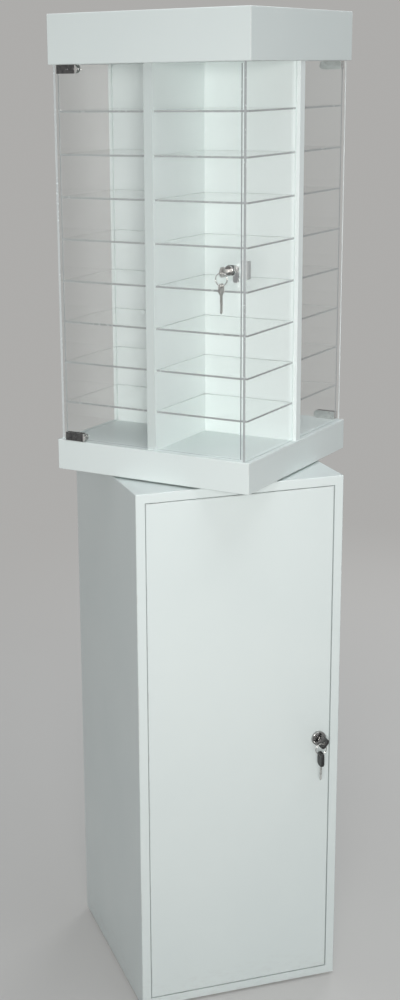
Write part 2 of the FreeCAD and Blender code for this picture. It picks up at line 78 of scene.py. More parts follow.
def placeInScene(name, data):
    thing = bpy.data.objects.new(name, data)
    scene.collection.objects.link(thing)
    return thing


def pieceFrom(bm, name, matrix, body, material, smoothAngle):
    bmesh.ops.recalc_face_normals(bm, faces=bm.faces)
    mesh = bpy.data.meshes.new(name)
    bm.to_mesh(mesh)
    bm.free()
    mesh.transform(matrix)
    mesh.polygons.foreach_set("use_smooth", [True] * len(mesh.polygons))
    mesh.set_sharp_from_angle(angle=math.radians(smoothAngle))
    mesh.materials.append(material)
    piece = placeInScene(name, mesh)
    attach(piece, body)
    return piece


def addBevel(piece, width, segments, angle=edges["bevelAngle"]):
    weld = piece.modifiers.new("weld", "WELD")
    weld.merge_threshold = edges["weldReach"]
    bevel = piece.modifiers.new("bevel", "BEVEL")
    bevel.width = width
    bevel.segments = segments
    bevel.limit_method = "ANGLE"
    bevel.angle_limit = math.radians(angle)


def softShadeGroup(angle):
    # shades smooth over edges flatter than the angle, and keeps the others crisp
    group = bpy.data.node_groups.new("softShade", "GeometryNodeTree")
    for way in ("INPUT", "OUTPUT"):
        group.interface.new_socket("Geometry", in_out=way, socket_type="NodeSocketGeometry")
    start = group.nodes.new("NodeGroupInput")
    end = group.nodes.new("NodeGroupOutput")
    bend = group.nodes.new("GeometryNodeInputMeshEdgeAngle")
    flatter = group.nodes.new("FunctionNodeCompare")
    flatter.data_type = "FLOAT"
    flatter.operation = "LESS_EQUAL"
    flatter.inputs[1].default_value = math.radians(angle)
    smoothFaces = group.nodes.new("GeometryNodeSetShadeSmooth")
    smoothEdges = group.nodes.new("GeometryNodeSetShadeSmooth")
    smoothEdges.domain = "EDGE"
    group.links.new(bend.outputs["Unsigned Angle"], flatter.inputs[0])
    group.links.new(start.outputs["Geometry"], smoothFaces.inputs["Geometry"])
    group.links.new(smoothFaces.outputs["Geometry"], smoothEdges.inputs["Geometry"])
    group.links.new(flatter.outputs["Result"], smoothEdges.inputs["Shade Smooth"])
    group.links.new(smoothEdges.outputs["Geometry"], end.inputs["Geometry"])
    return group


softShade = softShadeGroup(edges["smoothAngle"])


def roundOff(node, width, segments):
    # breaks a node's rims and lets its round faces shade as round
    addBevel(node, width, segments)
    node.modifiers.new("softShade", "NODES").node_group = softShade
    node.modifiers.new("flatFaces", "WEIGHTED_NORMAL").keep_sharp = True


def anglesRound(count, offset=0.0):
    return [fullTurn * (i + offset) / count for i in range(count)]


def addLoop(bm, points):
    return [bm.verts.new(point) for point in points]


def bridgeLoops(bm, loopA, loopB):
    count = len(loopA)
    for i in range(count):
        j = (i + 1) % count
        bm.faces.new((loopA[i], loopA[j], loopB[j], loopB[i]))


def skinLoops(bm, loops):
    # joins each loop to the next and closes both ends
    for loop, nextLoop in zip(loops, loops[1:]):
        bridgeLoops(bm, loop, nextLoop)
    bm.faces.new(loops[0])
    bm.faces.new(loops[-1])


# material helpers: a noise is given as a dictionary with its scale, detail and the like

toneBand = (0.35, 0.65)  # the middle of a noise, over which a colour changes
glossBand = (0.3, 0.7)  # and over which the gloss does


def newMaterial(name):
    material = bpy.data.materials.new(name)
    material.use_nodes = True
    tree = material.node_tree
    return material, tree, tree.nodes["Principled BSDF"]


def addNode(tree, kind, **values):
    node = tree.nodes.new(kind)
    for key, value in values.items():
        setattr(node, key, value)
    return node


def objectCoords(tree, kind):
    # "Object" or "Normal", which ride along with the piece in every pose
    return addNode(tree, "ShaderNodeTexCoord").outputs[kind]


def objectNoise(tree, look):
    vector = objectCoords(tree, "Object")
    if "stretch" in look:
        mapping = addNode(tree, "ShaderNodeMapping")
        mapping.inputs["Scale"].default_value = look["stretch"]
        tree.links.new(vector, mapping.inputs["Vector"])
        vector = mapping.outputs["Vector"]
    noise = addNode(tree, "ShaderNodeTexNoise")
    noise.inputs["Scale"].default_value = look["scale"]
    noise.inputs["Detail"].default_value = look["detail"]
    noise.inputs["Roughness"].default_value = look.get("roughness", 0.55)
    tree.links.new(vector, noise.inputs["Vector"])
    return noise.outputs["Fac"]


def spread(tree, socket, fromLow, fromHigh, toLow, toHigh):
    node = addNode(tree, "ShaderNodeMapRange", clamp=True)
    limits = {"From Min": fromLow, "From Max": fromHigh, "To Min": toLow, "To Max": toHigh}
    for name, value in limits.items():
        node.inputs[name].default_value = value
    tree.links.new(socket, node.inputs["Value"])
    return node.outputs["Result"]


def patches(tree, look, low=0.0, high=1.0):
    # soft patches of noise, from low to high
    return spread(tree, objectNoise(tree, look), *look["band"], low, high)


def maths(tree, operation, first, second=0.0):
    node = addNode(tree, "ShaderNodeMath", operation=operation)
    for socket, value in zip(node.inputs, (first, second)):
        if isinstance(value, (int, float)):
            socket.default_value = value
        else:
            tree.links.new(value, socket)
    return node.outputs["Value"]


def shareAlong(tree, vector, axis):
    dot = addNode(tree, "ShaderNodeVectorMath", operation="DOT_PRODUCT")
    dot.inputs[1].default_value = axis
    tree.links.new(vector, dot.inputs[0])
    return dot.outputs["Value"]


def sizesXYZ(tree, vector, turn=0.0):
    # x, y and z without their signs, along axes turned about the vertical
    rotate = addNode(tree, "ShaderNodeVectorRotate", rotation_type="Z_AXIS")
    rotate.inputs["Angle"].default_value = -turn
    tree.links.new(vector, rotate.inputs["Vector"])
    size = addNode(tree, "ShaderNodeVectorMath", operation="ABSOLUTE")
    tree.links.new(rotate.outputs["Vector"], size.inputs[0])
    parts = addNode(tree, "ShaderNodeSeparateXYZ")
    tree.links.new(size.outputs["Vector"], parts.inputs["Vector"])
    return parts.outputs["X"], parts.outputs["Y"], parts.outputs["Z"]


def mixColours(tree, factor, first, second):
    node = addNode(tree, "ShaderNodeMix", data_type="RGBA")
    tree.links.new(factor, node.inputs["Factor"])
    for socket, value in ((node.inputs[6], first), (node.inputs[7], second)):
        if isinstance(value, tuple):
            socket.default_value = (*value, 1.0)
        else:
            tree.links.new(value, socket)
    return node.outputs[2]


def mixShaders(tree, factor, first, second, output):
    mix = addNode(tree, "ShaderNodeMixShader")
    tree.links.new(factor, mix.inputs["Fac"])
    tree.links.new(first, mix.inputs[1])
    tree.links.new(second, mix.inputs[2])
    tree.links.new(mix.outputs["Shader"], tree.nodes[output].inputs["Surface"])


def addBump(tree, shader, heightSocket, look):
    bump = addNode(tree, "ShaderNodeBump")
    bump.inputs["Strength"].default_value = look["strength"]
    bump.inputs["Distance"].default_value = look["depth"]
    tree.links.new(heightSocket, bump.inputs["Height"])
    tree.links.new(bump.outputs["Normal"], shader.inputs["Normal"])


# white lacquer on board

lacquer = {
    "white": ((0.77, 0.83, 0.815), (0.735, 0.80, 0.79)),  # each white has a cooler one beside it
    # painted light: the partition gets a lighter copy of the board's white, standing in for more light
    # inside the case
    "inner": ((0.87, 0.925, 0.91), (0.84, 0.90, 0.89)),  # the partition is the whitest board
    # painted shade: a greyer white for the wall's ends behind the doors, standing in for the light the
    # door's acrylic takes away
    "paintedShadeEnds": ((0.66, 0.71, 0.70), (0.63, 0.69, 0.68)),  # on the wall's ends behind the doors
    "worn": (0.66, 0.68, 0.67),
    "scuff": (0.58, 0.585, 0.57),
    "roughness": (0.30, 0.42),
    "coat": 0.12,
    "coatRoughness": 0.2,
    "cloud": {"scale": 2.4, "detail": 5.0, "band": toneBand},
    "gloss": {"scale": 9.0, "detail": 5.0, "band": glossBand},
    "peel": {"scale": 430.0, "detail": 2.0, "strength": 0.05, "depth": 0.0004},
    "chips": {"scale": 38.0, "detail": 6.0, "band": (0.45, 0.62)},
    "chipStrength": 0.8,
    "easedNormal": (0.85, 0.97),  # largest share of a normal on an eased edge, and on a face
    "streaks": {"scale": 60.0, "detail": 6.0, "band": (0.48, 0.68), "stretch": (1.0, 1.0, 2.6)},
    "streakStrength": 0.3,
    "streakHeights": (0.004, 0.07),  # scuffs fade out between these heights
}


def edgeMask(tree, turn):
    # 1 on eased edges, whose normals lie between the board's own axes
    x, y, z = sizesXYZ(tree, objectCoords(tree, "Normal"), turn)
    largest = maths(tree, "MAXIMUM", maths(tree, "MAXIMUM", x, y), z)
    return spread(tree, largest, *lacquer["easedNormal"], 1.0, 0.0)


def makeLacquer(name, turn, whites, floorScuffs=False):
    material, tree, shader = newMaterial(name)
    colour = mixColours(tree, patches(tree, lacquer["cloud"]), *lacquer[whites])
    chips = patches(tree, lacquer["chips"], 0.0, lacquer["chipStrength"])
    wear = maths(tree, "MULTIPLY", edgeMask(tree, turn), chips)
    colour = mixColours(tree, wear, colour, lacquer["worn"])
    if floorScuffs:
        height = sizesXYZ(tree, objectCoords(tree, "Object"))[2]
        low = spread(tree, height, *lacquer["streakHeights"], lacquer["streakStrength"], 0.0)
        streaks = maths(tree, "MULTIPLY", low, patches(tree, lacquer["streaks"]))
        colour = mixColours(tree, streaks, colour, lacquer["scuff"])
    tree.links.new(colour, shader.inputs["Base Color"])
    gloss = patches(tree, lacquer["gloss"], *lacquer["roughness"])
    tree.links.new(gloss, shader.inputs["Roughness"])
    addBump(tree, shader, objectNoise(tree, lacquer["peel"]), lacquer["peel"])
    shader.inputs["Coat Weight"].default_value = lacquer["coat"]
    shader.inputs["Coat Roughness"].default_value = lacquer["coatRoughness"]
    return material


cabinetLacquer = makeLacquer("cabinetLacquer", 0.0, "white", floorScuffs=True)
towerLacquer = makeLacquer("towerLacquer", place["towerTurn"], "white")
partitionLacquerPaintedLight = makeLacquer("partitionLacquerPaintedLight", place["towerTurn"], "inner")
paintedShadeBand = makeLacquer("paintedShadeBand", place["towerTurn"], "paintedShadeEnds")


# clear acrylic sheet: clear faces, paler sawn and polished edges, with painted shade greying the shelves'
# edges and the front corner's edge

acrylic = {
    "panelFace": (0.99, 0.998, 0.996),
    "panelEdge": (0.88, 0.93, 0.93),
    "shelfFace": (0.965, 0.975, 0.97),
    # painted shade: the shelves' edges are greyed, standing in for the dark look of their polished edges
    "shelfEdge": (0.50, 0.52, 0.52),
    # painted shade: the front corner's edge is greyed, standing in for its dark look against the white
    # inside
    "cornerEdgeShade": (0.58, 0.61, 0.62),  # looks grey against the white inside
    "ior": 1.49,
    "faceRoughness": (0.0, 0.035),
    "edgeRoughness": 0.28,
    "edgeClearness": 0.3,
    "lampTint": (0.99, 0.996, 0.995),
    "smudge": {"scale": 13.0, "detail": 7.0, "roughness": 0.62, "band": (0.5, 0.75)},
    "sawn": {"scale": 260.0, "detail": 3.0, "band": glossBand},
    "sawnShare": (0.75, 1.0),
}


def makeAcrylic(name, sheetNormal, sheet, shadedSide=None):
    material, tree, shader = newMaterial(name)
    normal = objectCoords(tree, "Normal")
    facing = maths(tree, "ABSOLUTE", shareAlong(tree, normal, sheetNormal))
    edge = maths(tree, "LESS_THAN", facing, facingShare)
    colour = mixColours(tree, edge, acrylic[sheet + "Face"], acrylic[sheet + "Edge"])
    # painted shade: the front corner's polished edge is painted grey
    if shadedSide:  # the polished edge at the front corner
        shadedEdge = maths(tree, "GREATER_THAN", shareAlong(tree, normal, shadedSide), facingShare)
        colour = mixColours(tree, shadedEdge, colour, acrylic["cornerEdgeShade"])
    tree.links.new(colour, shader.inputs["Base Color"])
    smudge = patches(tree, acrylic["smudge"], *acrylic["faceRoughness"])
    sawn = patches(tree, acrylic["sawn"], *acrylic["sawnShare"])
    rough = maths(tree, "MULTIPLY", maths(tree, "MULTIPLY", edge, acrylic["edgeRoughness"]), sawn)
    tree.links.new(maths(tree, "ADD", rough, smudge), shader.inputs["Roughness"])
    clear = spread(tree, edge, 0.0, 1.0, 1.0, acrylic["edgeClearness"])
    tree.links.new(clear, shader.inputs["Transmission Weight"])
    shader.inputs["IOR"].default_value = acrylic["ior"]
    # light on its way to other pieces goes straight through
    through = addNode(tree, "ShaderNodeBsdfTransparent")
    through.inputs["Color"].default_value = (*acrylic["lampTint"], 1.0)
    path = addNode(tree, "ShaderNodeLightPath").outputs
    straight = maths(tree, "MAXIMUM", path["Is Shadow Ray"], path["Is Diffuse Ray"])
    mixShaders(tree, straight, shader.outputs["BSDF"], through.outputs["BSDF"], "Material Output")
    return material


panelAcrylic = makeAcrylic("panelAcrylic", acrossAxis, "panel")
cornerPanelAcrylic = makeAcrylic("cornerPanelAcrylic", acrossAxis, "panel", -inwardAxis)
doorAcrylic = makeAcrylic("doorAcrylic", inwardAxis, "panel", acrossAxis)
shelfAcrylic = makeAcrylic("shelfAcrylic", (0.0, 0.0, 1.0), "shelf")


# metals and plastics: patchy colour, patchy gloss and a fine grain, all on the finish's own scale

metalGrain = {
    "metallic": 1.0,
    "toneDetail": 5.0,
    "glossScale": 2.5,
    "fineScale": 9.0,
    "fine": {"strength": 0.06, "depth": 0.0001},
}
metals = {
    "nickel": {
        "colour": (0.72, 0.715, 0.70), "darker": (0.58, 0.575, 0.56),
        "roughness": (0.14, 0.28), "scale": 160.0,
    },
    "darkNickel": {
        "colour": (0.20, 0.20, 0.20), "darker": (0.11, 0.11, 0.115),
        "roughness": (0.22, 0.4), "scale": 140.0,
    },
    # painted shade: the locks' plating is a darkened copy of the bright nickel, standing in for dark
    # surroundings mirrored in it
    "lockChromeShaded": {
        "colour": (0.44, 0.44, 0.435), "darker": (0.34, 0.34, 0.335),
        "roughness": (0.1, 0.2), "scale": 160.0,
    },
    "zinc": {
        "colour": (0.52, 0.53, 0.54), "darker": (0.40, 0.41, 0.42),
        "roughness": (0.36, 0.55), "scale": 90.0,
    },
    "keyNickel": {
        "colour": (0.62, 0.615, 0.60), "darker": (0.47, 0.465, 0.45),
        "roughness": (0.24, 0.42), "scale": 220.0,
    },
    "ballSteel": {
        "colour": (0.70, 0.70, 0.71), "darker": (0.60, 0.60, 0.61),
        "roughness": (0.1, 0.2), "scale": 300.0,
    },
}
plasticGrain = {
    "metallic": 0.0,
    "toneDetail": 4.0,
    "glossScale": 3.0,
    "fineScale": 20.0,
    "fine": {"strength": 0.08, "depth": 0.0002},
}
plastics = {
    "nylon": {
        "colour": (0.70, 0.70, 0.67), "darker": (0.60, 0.60, 0.57),
        "roughness": (0.42, 0.6), "scale": 60.0,
    },
    # painted reflection: a light non-metallic grey on the zinc-plated strikes, standing in for the light
    # their plating reflects
    "strikePaint": {
        "colour": (0.71, 0.73, 0.725), "darker": (0.64, 0.66, 0.655),
        "roughness": (0.35, 0.5), "scale": 90.0,
    },
    "capBlack": {
        "colour": (0.016, 0.016, 0.017), "darker": (0.03, 0.03, 0.031),
        "roughness": (0.3, 0.5), "scale": 120.0,
    },
}
# painted highlight: the hinge clips' dark plate gets a bright end, standing in for the glint on their
# rounded ends
clip = {"highlightWithin": 0.1256, "paintedHighlight": (0.78, 0.78, 0.77)}  # hinge clips: dark plate, bright end


def clipHighlightEnd(tree):
    # 1 on the end of a clip that lies nearer to the middle of the door, where the painted highlight goes
    across = sizesXYZ(tree, objectCoords(tree, "Object"), place["towerTurn"])[0]
    return maths(tree, "LESS_THAN", across, clip["highlightWithin"])


def makeHardware(name, look, grain, highlightEnd=False):
    material, tree, shader = newMaterial(name)
    tone = {"scale": look["scale"], "detail": grain["toneDetail"], "band": toneBand}
    colour = mixColours(tree, patches(tree, tone), look["colour"], look["darker"])
    # painted highlight on the clip's inner end
    if highlightEnd:
        colour = mixColours(tree, clipHighlightEnd(tree), colour, clip["paintedHighlight"])
    tree.links.new(colour, shader.inputs["Base Color"])
    shader.inputs["Metallic"].default_value = grain["metallic"]
    gloss = {"scale": look["scale"] * grain["glossScale"], "detail": 4.0, "band": glossBand}
    tree.links.new(patches(tree, gloss, *look["roughness"]), shader.inputs["Roughness"])
    fine = {"scale": look["scale"] * grain["fineScale"], "detail": 2.0}
    addBump(tree, shader, objectNoise(tree, fine), grain["fine"])
    return material


finish = {name: makeHardware(name, look, metalGrain) for name, look in metals.items()}
finish["clipPlatePaintedHighlight"] = makeHardware("clipPlatePaintedHighlight", metals["darkNickel"], metalGrain, highlightEnd=True)
for name, look in plastics.items():
    finish[name] = makeHardware(name, look, plasticGrain)


# bare wood inside the pedestal

woodGrain = {"scale": 5.0, "detail": 8.0, "roughness": 0.6, "strength": 0.15, "depth": 0.0003}
woodRoughness = (0.55, 0.75)
woods = {
    "beech": {
        "colour": (0.56, 0.38, 0.21), "darker": (0.44, 0.28, 0.14), "stretch": (40.0, 2.0, 40.0),
    },
    "rawBoard": {
        "colour": (0.36, 0.25, 0.15), "darker": (0.29, 0.20, 0.12), "stretch": (60.0, 60.0, 60.0),
    },
}


def makeWood(name, look):
    material, tree, shader = newMaterial(name)
    grain = objectNoise(tree, {**woodGrain, "stretch": look["stretch"]})
    tone = spread(tree, grain, *toneBand, 0.0, 1.0)
    tree.links.new(mixColours(tree, tone, look["colour"], look["darker"]), shader.inputs["Base Color"])
    gloss = spread(tree, grain, *glossBand, *woodRoughness)
    tree.links.new(gloss, shader.inputs["Roughness"])
    addBump(tree, shader, grain, woodGrain)
    return material


for name, look in woods.items():
    finish[name] = makeWood(name, look)

finishBySlot = {
    "zinc_plated_steel": "zinc",
    "polished_steel": "ballSteel",
    "nylon": "nylon",
    "beech": "beech",
    "raw_board": "rawBoard",
    "nickel_plated_zinc": "lockChromeShaded",
    "dark_nickel": "clipPlatePaintedHighlight",
    "key_steel": "keyNickel",
    "capped_key_steel": "keyNickel",
    "ring_wire": "nickel",
}
towerBodies = ("tower", "front_door", "rear_door")
slotOf = {row["node"]: row["material_slot"] for row in frame["record"]["subparts"]}
bodyOf = {}
for body, members in frame["record"]["behaviour"]["bodies"].items():
    for member in members:
        bodyOf[member] = body


def finishFor(node):
    slot = slotOf[node]
    if node == "display_lock_strikes":
        return finish["strikePaint"]
    if node.startswith("partition"):
        return partitionLacquerPaintedLight
    if slot == "white_lacquered_board":
        return towerLacquer if bodyOf[node] in towerBodies else cabinetLacquer
    if slot == "clear_acrylic":
        if node.startswith("shelf_tier"):
            return shelfAcrylic
        if "door" in node:
            return doorAcrylic
        return cornerPanelAcrylic if node == "right_front_panel" else panelAcrylic
    return finish[finishBySlot[slot]]


for name, node in nodes.items():
    node.data.materials.clear()
    node.data.materials.append(finishFor(name))
    node.data.polygons.foreach_set("material_index", [0] * len(node.data.polygons))


def secondFinish(name, material, wanted):
    # puts another finish on the faces whose normals are wanted
    mesh = nodes[name].data
    mesh.materials.append(material)
    for polygon in mesh.polygons:
        polygon.material_index = 1 if wanted(polygon.normal) else 0


# painted shade: the wall's ends behind the doors get a greyer white, standing in for the light lost
# through the door's acrylic
secondFinish("partition_along", paintedShadeBand, lambda n: abs(n.dot(inwardAxis)) > facingShare)
# painted highlight: the clips' ends get the bright plate, standing in for the glint on them; their inner
# faces are bright plate too
for name, inner in (("front_door_hinges", inwardAxis), ("rear_door_hinges", -inwardAxis)):
    secondFinish(
        name, finish["nickel"],
        lambda n: abs(n.dot(acrossAxis)) > facingShare or n.dot(inner) > facingShare,
    )
print("finishes set on every node")

# plated parts have softly broken rims: width in metres and steps
rims = {
    "cabinet_lock_barrel": (0.0016, 4),
    "front_lock_barrel": (0.0011, 4),
    "rear_lock_barrel": (0.0011, 4),
    "cabinet_lock_plug": (0.0004, 2),
    "front_lock_plug": (0.0004, 2),
    "rear_lock_plug": (0.0004, 2),
    "front_door_hinges": (0.0008, 3),
    "rear_door_hinges": (0.0008, 3),
    "cabinet_lock_key": (0.0003, 2),
    "cabinet_spare_key": (0.0003, 2),
    "front_lock_key": (0.0003, 2),
    "front_spare_key": (0.0003, 2),
}
for name, (width, steps) in rims.items():
    roundOff(nodes[name], width, steps)
print("rims broken on locks, hinges and keys")


# split key rings: two turns of flat wire

splitRing = {
    "radius": 0.0095,
    "wall": 0.0012,
    "breadth": 0.00072,
    "pitch": 0.0008,
    "turns": 2.0,
    "steps": 144,
    "startAngle": math.pi / 2 + 0.6,
    "crossFrom": 0.82,  # the wire steps across to its second turn here
    "crossLength": 0.36,  # over this share of a turn
    "endSize": 0.35,  # the wire's ends are this thin
    "endTaper": 30,
    "drop": 0.0105,  # the ring's middle hangs this far below the key's hole
    "rim": 0.00018,
    "rimSteps": 2,
    "rimAngle": 60,
    "smoothAngle": 50,
}


def makeSplitRing(name, matrix, centre, body, node):
    bm = bmesh.new()
    loops = []
    for i in range(splitRing["steps"] + 1):
        share = i / splitRing["steps"]
        turn = share * splitRing["turns"]
        angle = splitRing["startAngle"] + turn * fullTurn
        step = (turn - splitRing["crossFrom"]) / splitRing["crossLength"]
        step = min(1.0, max(0.0, step))
        offset = (step * step * (3 - 2 * step) - 0.5) * splitRing["pitch"]  # eased at both ends
        taper = min(1.0, min(share, 1 - share) * splitRing["endTaper"] + splitRing["endSize"])
        points = []
        for out, aside in ((-0.5, -0.5), (0.5, -0.5), (0.5, 0.5), (-0.5, 0.5)):
            reach = splitRing["radius"] + out * splitRing["wall"] * taper
            points.append((
                centre.x + reach * math.cos(angle),
                centre.y + offset + aside * splitRing["breadth"],
                centre.z + reach * math.sin(angle),
            ))
        loops.append(addLoop(bm, points))
    skinLoops(bm, loops)
    ring = pieceFrom(bm, name, matrix, body, finish["nickel"], splitRing["smoothAngle"])
    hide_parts(node)
    addBevel(ring, splitRing["rim"], splitRing["rimSteps"], splitRing["rimAngle"])


straightDrop = Vector((0.0, 0.0, -splitRing["drop"]))
leanDrop = Matrix.Rotation(place["keyLean"], 3, "Y") @ straightDrop
cabinetRingCentre = Vector(place["cabinetKeyHole"]) + leanDrop
frontRingCentre = Vector(place["frontKeyHole"]) + straightDrop
makeSplitRing("cabinetSplitRing", cabinetLockMatrix, cabinetRingCentre, "cabinet_keys", "cabinet_key_ring")
makeSplitRing("frontSplitRing", frontLockMatrix, frontRingCentre, "front_keys", "front_key_ring")
print("split rings wound")


# black moulded caps on the bows of the cabinet's keys

keyCap = {
    "length": 0.0248,
    "height": 0.0180,
    "thickness": 0.0054,
    "corner": 0.0060,
    "holeRadius": 0.0026,
    "holeInset": 0.0052,
    "segments": 48,
    "searchReach": 0.05,  # the outline lies within this of the hole
    "searchSteps": 40,
    "rim": 0.0012,
    "rimSteps": 3,
    "rimAngle": 50,
    "smoothAngle": 40,
}


def capOutline(angle):
    # the point of the cap's rounded outline in this direction from the hole, found by halving
    halfLength, halfHeight, corner = keyCap["length"] / 2, keyCap["height"] / 2, keyCap["corner"]
    middle = Vector((halfLength - keyCap["holeInset"], 0.0))
    direction = Vector((math.cos(angle), math.sin(angle)))
    low, high = 0.0, keyCap["searchReach"]
    for i in range(keyCap["searchSteps"]):
        reach = (low + high) / 2
        point = direction * reach - middle
        pastX = max(abs(point.x) - (halfLength - corner), 0.0)
        pastY = max(abs(point.y) - (halfHeight - corner), 0.0)
        inside = math.hypot(pastX, pastY) <= corner
        low, high = (reach, high) if inside else (low, reach)
    return direction * low


def makeKeyCap(name, matrix, body):
    # drawn with the hole at the origin and the bow running along local +Y
    bm = bmesh.new()
    half = keyCap["thickness"] / 2
    angles = anglesRound(keyCap["segments"])
    outlines = {
        "hole": [Vector((math.cos(angle), math.sin(angle))) * keyCap["holeRadius"] for angle in angles],
        "rim": [capOutline(angle) for angle in angles],
    }
    loops = {}
    for side in (-1, 1):
        for kind, outline in outlines.items():
            loops[side, kind] = addLoop(bm, [(side * half, p.x, p.y) for p in outline])
    for side in (-1, 1):
        bridgeLoops(bm, loops[side, "hole"], loops[side, "rim"])
    for kind in ("rim", "hole"):
        bridgeLoops(bm, loops[-1, kind], loops[1, kind])
    cap = pieceFrom(
        bm, name, matrix, body, finish["capBlack"], keyCap["smoothAngle"],
    )
    addBevel(cap, keyCap["rim"], keyCap["rimSteps"], keyCap["rimAngle"])


keyHole = Matrix.Translation(place["cabinetKeyHole"]) @ Matrix.Rotation(place["keyLean"], 4, "Y")
spareHole = Matrix.Translation(cabinetRingCentre + straightDrop) @ Matrix.Rotation(-math.pi / 2, 4, "X")
makeKeyCap("cabinetKeyCap", cabinetLockMatrix @ keyHole, "cabinet_lock")
makeKeyCap("cabinetSpareKeyCap", cabinetLockMatrix @ spareHole, "cabinet_keys")
print("key caps moulded")


# socket set screws that clamp the acrylic in the hinge clips

setScrew = {
    "radius": 0.0024,
    "proud": 0.0007,
    "seated": 0.0006,  # how far the screw starts inside the clip
    "shoulder": 0.5,  # share of its height where the crown begins
    "crown": 0.8,  # share of the radius on top
    "socketRadius": 0.0011,
    "socketDepth": 0.0011,
    "acrossDoor": (-0.1285, -0.1395),
    "outerFace": -0.1755,
    "heights": (0.9638, 1.5382),
    "segments": 24,
    "smoothAngle": 30,
}


def socketReach(angle):
    # from the middle of the hexagon socket to its side
    sixth = math.pi / 6
    sector = (angle + sixth) % (2 * sixth) - sixth
    return setScrew["socketRadius"] * math.cos(sixth) / math.cos(sector)


def makeSetScrews(name, matrix, body):
    bm = bmesh.new()
    face, radius, count = setScrew["outerFace"], setScrew["radius"], setScrew["segments"]
    top = face - setScrew["proud"]
    angles = anglesRound(count)
    socket = [socketReach(angle) for angle in angles]
    sections = (
        (face + setScrew["seated"], [radius] * count),
        (face - setScrew["proud"] * setScrew["shoulder"], [radius] * count),
        (top, [radius * setScrew["crown"]] * count),
        (top, socket),
        (top + setScrew["socketDepth"], socket),
    )
    for x in setScrew["acrossDoor"]:
        for z in setScrew["heights"]:
            skinLoops(bm, [
                addLoop(bm, [
                    (x + reach * math.cos(angle), y, z + reach * math.sin(angle))
                    for angle, reach in zip(angles, reaches)
                ])
                for y, reaches in sections
            ])
    pieceFrom(bm, name, matrix, body, finish["darkNickel"], setScrew["smoothAngle"])


makeSetScrews("frontHingeScrews", towerMatrix, "front_door")
makeSetScrews("rearHingeScrews", rearTowerMatrix, "rear_door")
print("hinge screws set")


# small pan-head screws: they hold the cams on their plugs and the strikes on their walls

panScrew = {
    "segments": 24,
    # shares of radius and height
    "profile": ((1.0, 0.0), (1.0, 0.28), (0.93, 0.52), (0.74, 0.72), (0.46, 0.84)),
    "crossArm": 0.42,
    "crossHalf": 0.12,
    "crossCorner": 1.42,  # where two arms meet, in halves of an arm's breadth
    "crossDepth": 0.45,
    "smoothAngle": 40,
}


def crossReach(angle):
    # the cross's outline: an arm's end or side, whichever is nearer
    cosine, sine = abs(math.cos(angle)), abs(math.sin(angle))
    half = panScrew["crossHalf"]
    side = max(half / min(cosine, sine), half * panScrew["crossCorner"])
    return min(panScrew["crossArm"] / max(cosine, sine), side)


def addPanScrew(bm, seat, facing, size):
    # the head stands on seat and points along facing, with a cross recess on top
    toScrew = Matrix.Translation(seat) @ facing.to_track_quat("Z", "Y").to_matrix().to_4x4()
    radius, height, count = size["radius"], size["height"], panScrew["segments"]
    angles = anglesRound(count, 0.5)
    cross = [crossReach(angle) for angle in angles]
    top = panScrew["profile"][-1][1]
    sections = [([reach] * count, rise) for reach, rise in panScrew["profile"]]
    sections += [(cross, top), (cross, top - panScrew["crossDepth"])]
    loops = []
    for reaches, rise in sections:
        points = []
        for angle, reach in zip(angles, reaches):
            x, y = radius * reach * math.cos(angle), radius * reach * math.sin(angle)
            points.append(toScrew @ Vector((x, y, height * rise)))
        loops.append(addLoop(bm, points))
    skinLoops(bm, loops)


def finishPanScrews(bm, name, matrix, body):
    pieceFrom(bm, name, matrix, body, finish["zinc"], panScrew["smoothAngle"])


# cam screw: on the end of each plug, whose tail ends here behind the door's outer face
camScrew = {"showTail": 0.0227, "cabinetTail": 0.0267, "radius": 0.0034, "height": 0.0022}
for name, matrix, tail, body in (
    ("frontCamScrew", frontLockMatrix, camScrew["showTail"], "front_lock"),
    ("rearCamScrew", rearLockMatrix, camScrew["showTail"], "rear_lock"),
    ("cabinetCamScrew", cabinetLockMatrix, camScrew["cabinetTail"], "cabinet_lock"),
):
    bm = bmesh.new()
    addPanScrew(bm, Vector((0.0, tail, 0.0)), Vector((0.0, 1.0, 0.0)), camScrew)
    finishPanScrews(bm, name, matrix, body)

# strike screws: two in each strike's foot
strikeScrew = {
    "radius": 0.0026,
    "height": 0.0015,
    "spread": 0.0075,  # each stands this far above or below the middle
    "facing": (-1.0, 0.0, 0.0),
    "displaySeat": (0.1615, -0.1605, 1.24685),  # along the tower's own axes
    "cabinetFoot": 0.0015,  # the plate's thickness
    "cabinetInset": 0.0045,  # from the plate's rear edge
}
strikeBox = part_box("cabinet_strike_plate")
cabinetSeat = (
    strikeBox[1][0] - strikeScrew["cabinetFoot"],
    strikeBox[1][1] - strikeScrew["cabinetInset"],
    (strikeBox[0][2] + strikeBox[1][2]) / 2,
)
unturned = Matrix.Identity(4)
for name, body, seat, turns in (
    ("displayStrikeScrews", "tower", strikeScrew["displaySeat"], (towerMatrix, rearTowerMatrix)),
    ("cabinetStrikeScrews", "cabinet", cabinetSeat, (unturned,)),
):
    bm = bmesh.new()
    for side in (-1, 1):
        spot = Vector(seat) + Vector((0.0, 0.0, side * strikeScrew["spread"]))
        for turn in turns:
            facing = (turn.to_3x3() @ Vector(strikeScrew["facing"])).normalized()
            addPanScrew(bm, turn @ spot, facing, strikeScrew)
    finishPanScrews(bm, name, unturned, body)
print("lock screws set")


# floor, light and camera

